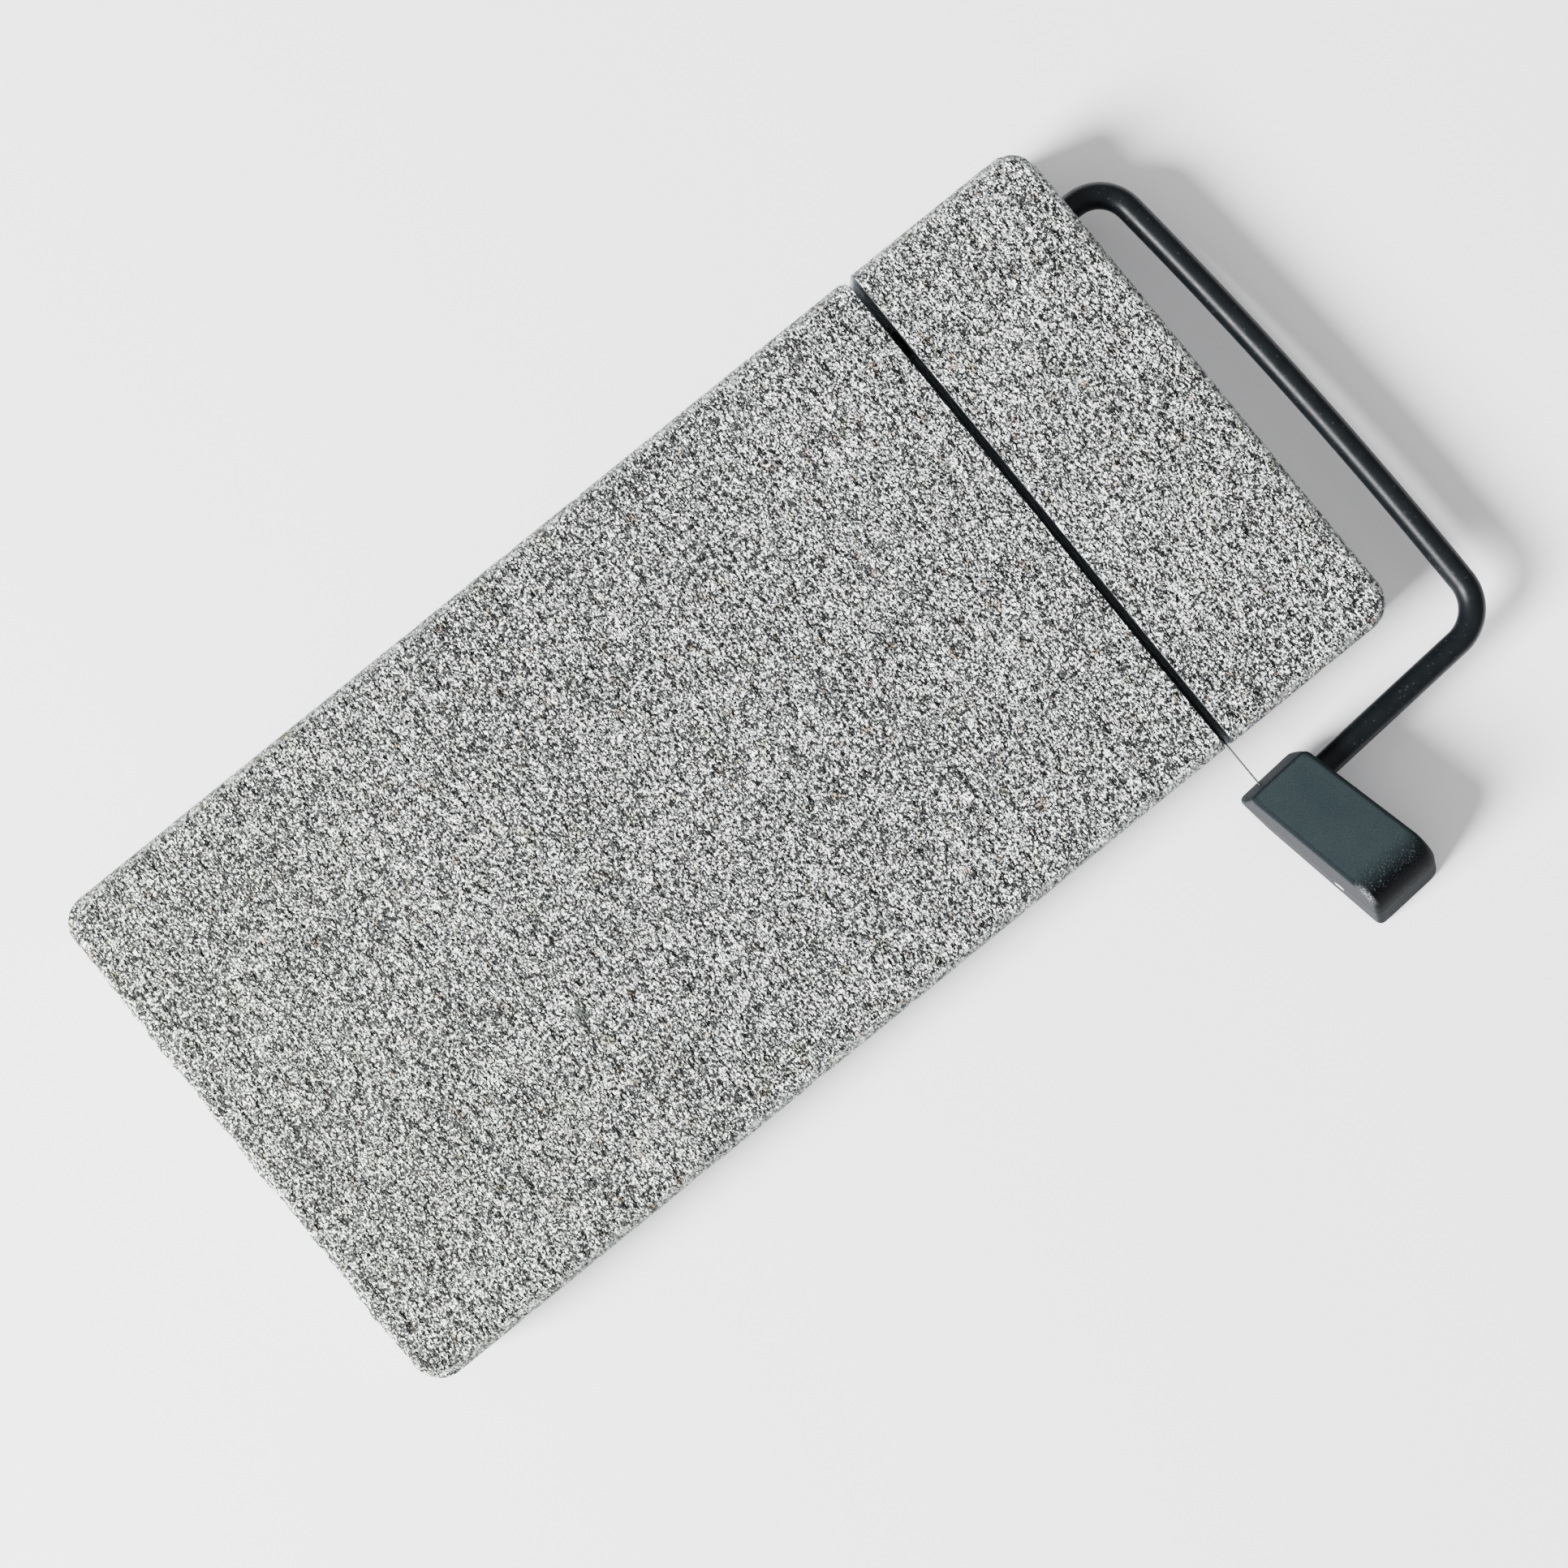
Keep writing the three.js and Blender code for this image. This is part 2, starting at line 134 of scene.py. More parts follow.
# Its nose: s at the top, at the curve's middle control point and at the rod's height
NOSE = (27.6, 32.4, 35.9)
SKIRT_SLOPE = 0.41
HEEL_DEPTH, HEEL_RUN = -5.6, 13.0
SOLID_BLOCK = 13.2
NOSE_WALL = 1.1
CHANNEL_REACH = 60.0
PAST_ROD = 5.0

# Screws: s and t of each, then heights u
SCREW_PLACES = ((11.3, 7.6), (29.5, 8.6))
SCREW_RADIUS = 1.1
SCREW_HEAD = 2.2
SCREW_SEAT = -5.4
SCREW_TIP = 4.4
SCREW_HEAD_HEIGHT = 1.6
SCREW_POINT = 0.15
PLAIN_SHANK = 1.2
BOSS_RADIUS = 3.0
BOSS_GAP = 0.6
SCREW_SIDES = 32
THREAD_PITCH = 0.9
THREAD_DEPTH = 0.22


def handle_point(s, t, u):
    return WIRE_ENTRY + ALONG * s + ACROSS * t + Vector((0, 0, u))


# --- mesh building ----------------------------------------------------------------------------------


def in_frame(points):
    """Points in millimetres from the slab's centre, as the frame's metres."""
    shift = Vector((slab_mid.x, slab_mid.y, 0))
    return [shift + Vector(point) * MM for point in points]


def make(name, points, faces, smooth_angle=35):
    mesh = bpy.data.meshes.new(name)
    mesh.from_pydata(in_frame(points), [], faces)
    obj = bpy.data.objects.new(name, mesh)
    bpy.context.scene.collection.objects.link(obj)
    tidy_normals(obj, smooth_angle)
    return obj


def tidy_normals(obj, smooth_angle):
    work = bmesh.new()
    work.from_mesh(obj.data)
    bmesh.ops.recalc_face_normals(work, faces=work.faces)
    limit = math.radians(smooth_angle)
    for face in work.faces:
        face.smooth = True
    for edge in work.edges:
        edge.smooth = len(edge.link_faces) == 2 and edge.calc_face_angle(0) < limit
    work.to_mesh(obj.data)
    work.free()


def loft(name, rings, smooth_angle=35):
    """A closed solid through rings with the same number of points."""
    count = len(rings[0])
    points = [point for ring in rings for point in ring]
    faces = []
    for level in range(len(rings) - 1):
        for i in range(count):
            a = level * count + i
            b = level * count + (i + 1) % count
            faces.append((a, b, b + count, a + count))
    faces.append(tuple(reversed(range(count))))
    last = (len(rings) - 1) * count
    faces.append(tuple(range(last, last + count)))
    return make(name, points, faces, smooth_angle)


def circle(centre, side, over, radius, count):
    """Points round a circle spanned by the unit vectors side and over."""
    turns = (2 * math.pi * i / count for i in range(count))
    return [centre + side * (radius * math.cos(a)) + over * (radius * math.sin(a)) for a in turns]


def axes_for(axis):
    side = axis.cross(Vector((0, 0, 1)))
    side = Vector((1, 0, 0)) if side.length < 0.01 else side.normalized()
    return side, axis.cross(side).normalized()


def rod_between(name, start, end, radius, count=48):
    side, over = axes_for((end - start).normalized())
    return loft(name, [circle(start, side, over, radius, count), circle(end, side, over, radius, count)])


def turned(name, start, axis, profile, count=48, ring=False):
    """A lathe-turned solid: profile lists (distance along the axis, radius), closed up for a ring."""
    side, over = axes_for(axis)
    rings = [circle(start + axis * d, side, over, r, count) for d, r in profile]
    if not ring:
        return loft(name, rings)
    points = [point for row in rings for point in row]
    faces = []
    for level in range(len(rings)):
        for i in range(count):
            a, b = level * count + i, level * count + (i + 1) % count
            step = count * ((level + 1) % len(rings)) - count * level
            faces.append((a, b, b + step, a + step))
    return make(name, points, faces)


def cut(obj, tools, smooth_angle=35):
    """Subtract each tool from obj."""
    for tool in tools:
        modifier = obj.modifiers.new("cut", "BOOLEAN")
        modifier.operation = "DIFFERENCE"
        modifier.solver = "EXACT"
        modifier.object = tool
    bpy.context.view_layer.update()
    solved = obj.evaluated_get(bpy.context.evaluated_depsgraph_get())
    mesh = bpy.data.meshes.new_from_object(solved)
    obj.modifiers.clear()
    obj.data = mesh
    for tool in tools:
        bpy.data.objects.remove(tool)
    tidy_normals(obj, smooth_angle)
    return obj


# --- slab -------------------------------------------------------------------------------------------


def slab_outline(inset, step=1.0):
    """Rounded rectangle, counter-clockwise, with the same number of points whatever the inset."""
    reach_x = SLAB_LENGTH / 2 - SLAB_CORNER
    reach_y = SLAB_WIDTH / 2 - SLAB_CORNER
    radius = SLAB_CORNER - inset
    points = []
    for quarter, (sx, sy) in enumerate(((1, 1), (-1, 1), (-1, -1), (1, -1))):
        start = quarter * math.pi / 2
        for i in range(CORNER_STEPS + 1):
            angle = start + (i / CORNER_STEPS) * math.pi / 2
            x = sx * reach_x + radius * math.cos(angle)
            y = sy * reach_y + radius * math.sin(angle)
            points.append((x, y))
        along_x = quarter % 2 == 0
        run = 2 * (reach_x if along_x else reach_y)
        count = int(run / step)
        x, y = points[-1]
        for i in range(1, count):
            shift = -run * i / count if quarter < 2 else run * i / count
            points.append((x + shift, y) if along_x else (x, y + shift))
    return points


def chip(x, y, z):
    """How far the worn arris is chipped back at a place: mostly nothing, sometimes a small bite."""
    fine = noise.noise(Vector((x, y, z)) * 0.55)
    coarse = noise.noise(Vector((x, y, z)) * 0.16 + Vector((7, 3, 1)))
    return 0.05 * abs(fine) + 0.3 * max(0.0, fine + coarse - 0.45)


def split_end(x, y, z):
    """How far the split end face, away from the bow, wanders from a straight line."""
    near_end = max(0.0, min(1.0, 1 - (x + SLAB_LENGTH / 2) / SPLIT_DEPTH))
    coarse = noise.noise(Vector((5, y, z)) * 0.13)
    fine = noise.noise(Vector((9, y, z)) * 0.5)
    return near_end * (0.5 * coarse + 0.45 * fine)


def slab_ring(inset, z, wear=0.0):
    ring = []
    for x, y in slab_outline(inset):
        bite = wear * chip(x, y, z)
        shrink = 1 - bite / (SLAB_WIDTH / 2)
        ring.append(Vector((x * shrink + split_end(x, y, z), y * shrink, z)))
    return ring


def make_slab():
    steps = 8
    edge = []
    for i in range(steps + 1):
        angle = (i / steps) * math.pi / 2
        edge.append((SLAB_EDGE * (1 - math.sin(angle)), SLAB_EDGE * (1 - math.cos(angle))))
    rings = [slab_ring(inset, SLAB_BASE + rise) for inset, rise in edge]
    rings += [slab_ring(inset, SLAB_TOP - drop, wear=1.0) for inset, drop in reversed(edge)]
    slab = loft("stone", rings, 30)
    return cut(slab, [slot_tool(), *bore_tools()], 30)


def slot_tool():
    """The saw cut: straight walls, a ragged arris at the top and one worn corner at the hinge side."""
    past_slab = 3
    reach = SLAB_WIDTH / 2 + past_slab
    count = 170
    worn_from = SLAB_WIDTH / 2 - SLOT_WORN_LENGTH
    rings = []
    straight_to = SLAB_TOP - RAG_DEPTH
    just_above, well_above = SLAB_TOP + 0.02, SLAB_TOP + 5
    levels = ((SLOT_FLOOR, 0.0), (straight_to, 0.0), (just_above, 1.0), (well_above, 1.0))
    for z, ragged in levels:
        left, right = [], []
        for i in range(count + 1):
            y = -reach + 2 * reach * i / count
            worn = max(0.0, min(y - worn_from, SLOT_WORN_LENGTH - 0.01)) / SLOT_WORN_LENGTH
            corner = SLOT_WORN_DEPTH * (1 - math.sqrt(1 - worn * worn))
            rag_left = ragged * (RAG + chip(SLOT_X - 9, y, 1.0) * RAG_BITE)
            rag_right = ragged * (RAG + chip(SLOT_X + 9, y, 2.0) * RAG_BITE)
            left.append(Vector((SLOT_X - SLOT_WIDTH / 2 - rag_left - corner, y, z)))
            right.append(Vector((SLOT_X + SLOT_WIDTH / 2 + rag_right, y, z)))
        rings.append(right + list(reversed(left)))
    return loft("slot", rings)


def bore_tools():
    middle = Vector((SLOT_X, PIVOT_Y, PIVOT_Z))
    mouth = Vector((SLAB_LENGTH / 2 + 5, PIVOT_Y, PIVOT_Z))
    blind = Vector((ROD_START - GAP, PIVOT_Y, PIVOT_Z))
    return (
        rod_between("sleeve_bore", middle, mouth, SLEEVE_RADIUS + GAP, 64),
        rod_between("bearing_bore", blind, middle, ROD_RADIUS + GAP, 64),
    )


def make_sleeve():
    start = Vector((SLOT_X + SLOT_WIDTH / 2 + GAP, PIVOT_Y, PIVOT_Z))
    length = SLAB_LENGTH / 2 - GAP - start.x
    bore = ROD_RADIUS + GAP
    lip = 0.2
    profile = [
        (lip, bore),
        (0, bore + lip),
        (0, SLEEVE_RADIUS - lip),
        (lip, SLEEVE_RADIUS),
        (length - lip, SLEEVE_RADIUS),
        (length, SLEEVE_RADIUS - lip),
        (length, bore + lip),
        (length - lip, bore),
    ]
    return turned("sleeve", start, Vector((1, 0, 0)), profile, 64, ring=True)


def make_foot(name):
    """A stick-on bumper: flared skirt, rounded rim and a shallow dish in its underside."""
    low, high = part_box(name)
    centre = ((low + high) / 2 - slab_mid) / MM
    radius = (high.x - low.x) / MM / 2
    centre_radius = 0.01
    dish_depth = 0.35
    rim, flare = 0.8, 0.5
    steps = 8
    top = SLAB_BASE - 0.02
    profile = [(dish_depth, centre_radius), (dish_depth, 2.4), (0.12, 3.0), (0, 3.6)]
    for i in range(steps + 1):
        angle = (i / steps) * math.pi / 2
        profile.append((rim * (1 - math.cos(angle)), radius - flare - rim + rim * math.sin(angle)))
    profile += [(SLAB_BASE - 0.15, radius), (top, radius - 0.1), (top, centre_radius)]
    return turned(name + "_turned", Vector((centre.x, centre.y, 0)), Vector((0, 0, 1)), profile, 64)


# --- bow --------------------------------------------------------------------------------------------


def rounded_path(corners, radii, step):
    """Points about `step` apart along straight lines joined by arcs of the given radii."""
    points = [corners[0]]
    for corner, before, after, radius in zip(corners[1:-1], corners, corners[2:], radii):
        back = (before - corner).normalized()
        ahead = (after - corner).normalized()
        half_turn = (math.pi - back.angle(ahead)) / 2
        reach = radius * math.tan(half_turn)
        centre = corner + (back + ahead).normalized() * (radius / math.cos(half_turn))
        start = corner + back * reach - centre
        add_line(points, centre + start, step)
        turning = -1 if back.x * ahead.y - back.y * ahead.x > 0 else 1
        count = max(4, math.ceil(2 * half_turn * radius / step))
        for i in range(1, count + 1):
            angle = turning * 2 * half_turn * i / count
            turned_x = start.x * math.cos(angle) - start.y * math.sin(angle)
            turned_y = start.x * math.sin(angle) + start.y * math.cos(angle)
            points.append(centre + Vector((turned_x, turned_y)))
    add_line(points, corners[-1], step)
    return points


def add_line(points, end, step):
    start = points[-1]
    count = max(1, math.ceil((end - start).length / (4 * step)))
    points.extend(start.lerp(end, i / count) for i in range(1, count + 1))


def make_rod():
    """One bent rod with lightly rounded ends, cross-drilled for the wire."""
    middle = (HINGE_CORNER + HANDLE_CORNER) / 2 + Vector((LEG_BOW, 0))
    tip = handle_point(ROD_FROM_END, ROD_END_T, 0).to_2d()
    corners = [Vector((ROD_START, PIVOT_Y)), HINGE_CORNER, middle, HANDLE_CORNER, tip]
    path = rounded_path(corners, (HINGE_BEND, LEG_ARC, HANDLE_BEND), 0.6)
    rings = []
    for i, point in enumerate(path):
        ahead = path[min(i + 1, len(path) - 1)] - path[max(i - 1, 0)]
        ahead.normalize()
        side = Vector((-ahead.y, ahead.x, 0))
        radius = ROD_RADIUS - ROD_END_ROUND if i in (0, len(path) - 1) else ROD_RADIUS
        centre = Vector((point.x, point.y, PIVOT_Z))
        rings.append(circle(centre, side, Vector((0, 0, 1)), radius, 56))
        if i in (0, len(path) - 1):
            inner = centre + Vector((ahead.x, ahead.y, 0)) * (ROD_END_ROUND if i == 0 else -ROD_END_ROUND)
            full = circle(inner, side, Vector((0, 0, 1)), ROD_RADIUS, 56)
            rings.insert(len(rings) if i == 0 else len(rings) - 1, full)
    rod = loft("bent_rod", rings)
    wire = wire_axis()
    counterbore = rod_between(
        "counterbore",
        WIRE_PIVOT - wire * (2 * ROD_RADIUS),
        WIRE_PIVOT - wire * (ROD_RADIUS - GAP - PIVOT_FERRULE - GAP),
        FERRULE_RADIUS + GAP,
        32,
    )
    return cut(rod, [wire_hole(-2 * ROD_RADIUS, 2 * ROD_RADIUS), counterbore])


def wire_axis():
    return (WIRE_ENTRY - WIRE_PIVOT).normalized()


def wire_at(distance):
    return WIRE_PIVOT + wire_axis() * distance


WIRE_SPAN = (WIRE_ENTRY - WIRE_PIVOT).length + ROD_FROM_END


def wire_hole(start, beyond):
    return rod_between("wire_hole", wire_at(start), wire_at(WIRE_SPAN + beyond), WIRE_HOLE, 24)


def make_wire():
    start = -ROD_RADIUS + GAP / 2
    end = WIRE_SPAN + ROD_RADIUS + GAP + HANDLE_FERRULE + WIRE_STUB
    return rod_between("drawn_wire", wire_at(start), wire_at(end), WIRE_RADIUS, 20)


def make_ferrule(name, start, length, crimps):
    """A tube squeezed onto the wire: each crimp is a waist in its outside."""
    flare_length, flare = 0.1, 0.08
    profile = [
        (flare_length, FERRULE_BORE),
        (0, FERRULE_BORE + flare),
        (0, FERRULE_RADIUS - FERRULE_ROUND),
        (FERRULE_ROUND, FERRULE_RADIUS),
    ]
    for i in range(crimps):
        centre = length * (i + 1) / (crimps + 1)
        for along, depth in ((-0.3, 0), (-0.15, 0.1), (0, 0.14), (0.15, 0.1), (0.3, 0)):
            profile.append((centre + along, FERRULE_RADIUS - depth))
    profile += [
        (length - FERRULE_ROUND, FERRULE_RADIUS),
        (length, FERRULE_RADIUS - FERRULE_ROUND),
        (length, FERRULE_BORE + flare),
        (length - flare_length, FERRULE_BORE),
    ]
    return turned(name, wire_at(start), wire_axis(), profile, 32, ring=True)


# --- handle -----------------------------------------------------------------------------------------


def handle_level(u, inner, outer, inset):
    """Outline of the handle at height u: four rounded corners."""
    draft = SIDE_DRAFT * max(0.0, u)
    pinch = HEEL_PINCH * max(0.0, -u)

    def near(s):
        return NEAR_SIDE + NEAR_LEAN * s + draft + inset + pinch * max(0.0, 1 - s / HEEL_PINCH_LENGTH)

    def far(s):
        return FAR_SIDE + FAR_LEAN * s - draft - inset

    corners = [
        Vector((inner, near(inner))),
        Vector((outer, near(outer))),
        Vector((outer, far(outer))),
        Vector((inner, far(inner))),
    ]
    radii = (SHELL_CORNER, SHELL_CORNER, FAR_CORNER, SHELL_CORNER)
    ring = []
    for i, corner in enumerate(corners):
        back = (corners[i - 1] - corner).normalized()
        ahead = (corners[(i + 1) % 4] - corner).normalized()
        start = corner + back * radii[i]
        end = corner + ahead * radii[i]
        for k in range(CORNER_STEPS + 1):
            share = k / CORNER_STEPS
            point = start * (1 - share) ** 2 + corner * (2 * share * (1 - share)) + end * share**2
            ring.append(handle_point(point.x, point.y, u))
    return ring


def nose_at(u):
    if u <= 0:
        return NOSE[2] - SKIRT_SLOPE * u
    share = math.sqrt(max(0.0, 1 - u / HANDLE_TOP))
    rest = 1 - share
    return rest * rest * NOSE[0] + 2 * share * rest * NOSE[1] + share * share * NOSE[2]


def heel_at(u):
    if u >= HEEL_DEPTH:
        return 0.0
    share = (u - HEEL_DEPTH) / (HANDLE_BOTTOM - HEEL_DEPTH)
    return HEEL_RUN * share * share


def upper_solid(name, wall, floor):
    top = HANDLE_TOP - wall
    straight_to = top - SHELL_EDGE
    heights = [(floor + (straight_to - floor) * i / WALL_STEPS, 0.0) for i in range(WALL_STEPS)]
    for i in range(SHELL_EDGE_STEPS + 1):
        angle = (i / SHELL_EDGE_STEPS) * math.pi / 2
        heights.append((straight_to + SHELL_EDGE * math.sin(angle), SHELL_EDGE * (1 - math.cos(angle))))
    rings = []
    for u, rounding in heights:
        inner = rounding if wall == 0 else SOLID_BLOCK
        outer = nose_at(min(u + wall, HANDLE_TOP)) - NOSE_WALL * wall
        rings.append(handle_level(u, inner, outer, wall + rounding))
    return loft(name, rings, 40)


def lower_solid(name, wall, ceiling):
    bottom = HANDLE_BOTTOM + wall
    round_to = bottom + SHELL_EDGE
    heights = []
    for i in range(SHELL_EDGE_STEPS, -1, -1):
        angle = (i / SHELL_EDGE_STEPS) * math.pi / 2
        heights.append((round_to - SHELL_EDGE * math.sin(angle), SHELL_EDGE * (1 - math.cos(angle))))
    for i in range(1, WALL_STEPS + 1):
        heights.append((round_to + (ceiling - round_to) * i / WALL_STEPS, 0.0))
    rings = []
    for u, rounding in heights:
        inner = heel_at(u) + rounding if wall == 0 else SOLID_BLOCK
        outer = nose_at(u) - rounding - NOSE_WALL * wall
        rings.append(handle_level(u, inner, outer, wall + rounding))
    return loft(name, rings, 40)


def post(place_st, radius, low, high):
    s, t = place_st
    return rod_between("post", handle_point(s, t, low), handle_point(s, t, high), radius, 40)


def shell_tools():
    """What both shells are cut by: the rod's channel, the wire's hole and the ferrule's pocket."""
    channel_from = handle_point(ROD_FROM_END, ROD_END_T - GAP, 0)
    channel_to = handle_point(ROD_FROM_END, CHANNEL_REACH, 0)
    pocket_from = wire_at(WIRE_SPAN + ROD_RADIUS)
    pocket_to = wire_at(WIRE_SPAN + ROD_RADIUS + GAP + HANDLE_FERRULE + WIRE_STUB + GAP)
    return (
        rod_between("channel", channel_from, channel_to, ROD_RADIUS + GAP, 56),
        wire_hole(WIRE_SPAN - ROD_FROM_END - PAST_ROD, ROD_RADIUS + GAP),
        rod_between("pocket", pocket_from, pocket_to, FERRULE_RADIUS + GAP, 24),
    )


def make_upper_shell():
    boss = post(SCREW_PLACES[1], BOSS_RADIUS, -PAST_ROD, HANDLE_TOP)
    hollow = cut(upper_solid("upper_hollow", WALL, -1), [boss])
    pilots = [post(place_st, SCREW_RADIUS + GAP, -PAST_ROD, SCREW_TIP + GAP) for place_st in SCREW_PLACES]
    body = upper_solid("upper_moulding", 0, PARTING)
    return cut(body, [hollow, *pilots, *shell_tools()], 40)


def make_lower_shell():
    below = 2 * HANDLE_BOTTOM
    boss = post(SCREW_PLACES[1], BOSS_RADIUS + BOSS_GAP, below, PAST_ROD)
    hollow = cut(lower_solid("lower_hollow", WALL, 1), [boss])
    shanks = [post(place_st, SCREW_RADIUS + GAP, below, PAST_ROD) for place_st in SCREW_PLACES]
    wells = [post(place_st, SCREW_HEAD + GAP, below, SCREW_SEAT) for place_st in SCREW_PLACES]
    body = lower_solid("lower_moulding", 0, -PARTING)
    return cut(body, [hollow, *shanks, *wells, *shell_tools()], 40)


def make_screw(name, place_st):
    """A pan-head screw, head down, with a helical thread and a cross recess."""
    seat = SCREW_SEAT - GAP
    head = SCREW_HEAD_HEIGHT
    levels = [(seat - head, 0.5 * SCREW_HEAD), (seat - head, 0.72 * SCREW_HEAD)]
    levels += [(seat - 0.85 * head, 0.9 * SCREW_HEAD), (seat - 0.55 * head, SCREW_HEAD)]
    levels += [(seat, SCREW_HEAD), (seat, SCREW_RADIUS)]
    count = 90
    cone_from = SCREW_TIP - SCREW_RADIUS
    levels += [(seat + (cone_from - seat) * i / count, SCREW_RADIUS) for i in range(1, count)]
    levels += [(cone_from, SCREW_RADIUS), (SCREW_TIP, SCREW_POINT)]
    s, t = place_st
    centre = handle_point(s, t, 0)
    rings = []
    for u, radius in levels:
        ring = []
        for i in range(SCREW_SIDES):
            turn = i / SCREW_SIDES
            threaded = seat + PLAIN_SHANK < u < cone_from
            wave = 1 - abs(2 * ((u / THREAD_PITCH - turn) % 1) - 1)
            r = radius - (THREAD_DEPTH * (1 - wave) if threaded else 0)
            angle = 2 * math.pi * turn
            ring.append(centre + Vector((r * math.cos(angle), r * math.sin(angle), u)))
        rings.append(ring)
    screw = loft(name, rings, 50)
    return cut(screw, recess_tools(centre, seat - head), 50)


def recess_tools(centre, head_face):
    """Two crossed wedges that cut a screw's cross recess, narrower at its bottom."""
    arm, half_width, depth, taper = 1.25, 0.3, 1.0, 0.6
    corners = ((-1, -1), (1, -1), (1, 1), (-1, 1))
    tools = []
    for reach_x, reach_y in ((arm, half_width), (half_width, arm)):
        low, high = [], []
        for x, y in corners:
            low.append(centre + Vector((x * reach_x, y * reach_y, head_face - depth)))
            high.append(centre + Vector((x * reach_x * taper, y * reach_y * taper, head_face + depth)))
        tools.append(loft("recess", [low, high]))
    return tools


# --- shader building -------------------------------------------------------------------------------


class Look:
    """A material being built: makes nodes, sets their inputs and links them."""

    def __init__(self, name):
        self.material = bpy.data.materials.new(name)
        self.material.use_nodes = True
        self.tree = self.material.node_tree
        self.shader = self.tree.nodes["Principled BSDF"]

    def node(self, kind, settings=None, **inputs):
        made = self.tree.nodes.new(kind)
        for key, value in (settings or {}).items():
            setattr(made, key, value)
        for key, value in inputs.items():
            self.put(made.inputs[key.replace("_", " ")], value)
        return made

    def put(self, socket, value):
        if isinstance(value, bpy.types.NodeSocket):
            self.tree.links.new(value, socket)
        else:
            socket.default_value = value

    def millimetres(self):
        """The piece's own coordinates, in millimetres."""
        place = self.node("ShaderNodeTexCoord").outputs["Object"]
        return self.vector("SCALE", place, scale=1000)

    def vector(self, operation, a, b=None, scale=None):
        made = self.node("ShaderNodeVectorMath", {"operation": operation})
        self.put(made.inputs[0], a)
        if b is not None:
            self.put(made.inputs[1], b)
        if scale is not None:
            self.put(made.inputs["Scale"], scale)
        return made.outputs[0]

    def math(self, operation, a, b=0.0):
        made = self.node("ShaderNodeMath", {"operation": operation})
        self.put(made.inputs[0], a)
        self.put(made.inputs[1], b)
        return made.outputs[0]

    def noise(self, place, scale, detail=3.0, roughness=0.55, colour=False):
        made = self.node(
            "ShaderNodeTexNoise", Vector=place, Scale=scale, Detail=detail, Roughness=roughness
        )
        return made.outputs["Color" if colour else "Fac"]

    def cells(self, place, scale):
        """One random colour for each cell of an irregular grid."""
        return self.node("ShaderNodeTexVoronoi", Vector=place, Scale=scale).outputs["Color"]

    def channel(self, colour, name):
        return self.node("ShaderNodeSeparateColor", Color=colour).outputs[name]

    def ramp(self, share, stops):
        """The colour at each stop, a position from 0 to 1, and an even change from one to the next."""
        made = self.node("ShaderNodeValToRGB", Fac=share)
        while len(made.color_ramp.elements) < len(stops):
            made.color_ramp.elements.new(1.0)
        for element, (position, colour) in zip(made.color_ramp.elements, stops):
            element.position = position
            element.color = (*colour, 1.0)
        return made.outputs["Color"]

    def spread(self, value, low, high, new_low=0.0, new_high=1.0):
        made = self.node("ShaderNodeMapRange")
        for index, item in enumerate((value, low, high, new_low, new_high)):
            self.put(made.inputs[index], item)
        return made.outputs["Result"]

    def mix(self, share, a, b, blend="MIX"):
        made = self.node("ShaderNodeMix", {"data_type": "RGBA", "blend_type": blend})
        self.put(made.inputs["Factor"], share)
        self.put(made.inputs[6], a)
        self.put(made.inputs[7], b)
        return made.outputs[2]

    def axes(self, vector):
        return self.node("ShaderNodeSeparateXYZ", Vector=vector).outputs

    def facing(self):
        """The way the surface faces, in the piece's own axes."""
        return self.axes(self.node("ShaderNodeTexCoord").outputs["Normal"])

    def upward(self):
        """1 where the surface is level, 0 where it is upright."""
        return self.math("ABSOLUTE", self.facing()["Z"])

    def blend(self, share, a, b):
        """Number a where share is 0, b where it is 1."""
        made = self.node("ShaderNodeMix", {"data_type": "FLOAT"})
        self.put(made.inputs["Factor"], share)
        self.put(made.inputs[2], a)
        self.put(made.inputs[3], b)
        return made.outputs[0]

    def bump(self, height, strength, distance, under=None):
        made = self.node("ShaderNodeBump", Height=height, Strength=strength, Distance=distance)
        if under is not None:
            self.put(made.inputs["Normal"], under)
        return made.outputs["Normal"]

    def finish(self, **inputs):
        for key, value in inputs.items():
            self.put(self.shader.inputs[key.replace("_", " ")], value)
        return self.material


def weighed(look, value, weight):
    """How far the value is from a half, times the weight."""
    return look.math("MULTIPLY", look.math("SUBTRACT", value, 0.5), weight)


def granite_grains(look, place):
    """The stone's own stretched coordinates, plain and with the outlines of its crystals wobbled."""
    along = look.vector("MULTIPLY", place, (0.86, 0.6, 0.72))
    wobble = look.vector("SUBTRACT", look.noise(along, 1.6, 2.0, 0.6, colour=True), (0.5, 0.5, 0.5))
    return along, look.vector("ADD", along, look.vector("SCALE", wobble, scale=0.8))


def granite_strokes(look, along, grains):
    """Strings of black mica: below 0 along thin wandering lines, above 0 between them."""
    ridge = look.math("ABSOLUTE", look.math("SUBTRACT", look.noise(grains, 1.7, 1.5, 0.6), 0.5))
    strings = look.spread(look.noise(along, 0.55, 2.0), 0.42, 0.62, 0.7, 1.0)
    return look.math("MULTIPLY", look.math("SUBTRACT", look.spread(ridge, 0.0, 0.1), 0.75), strings)


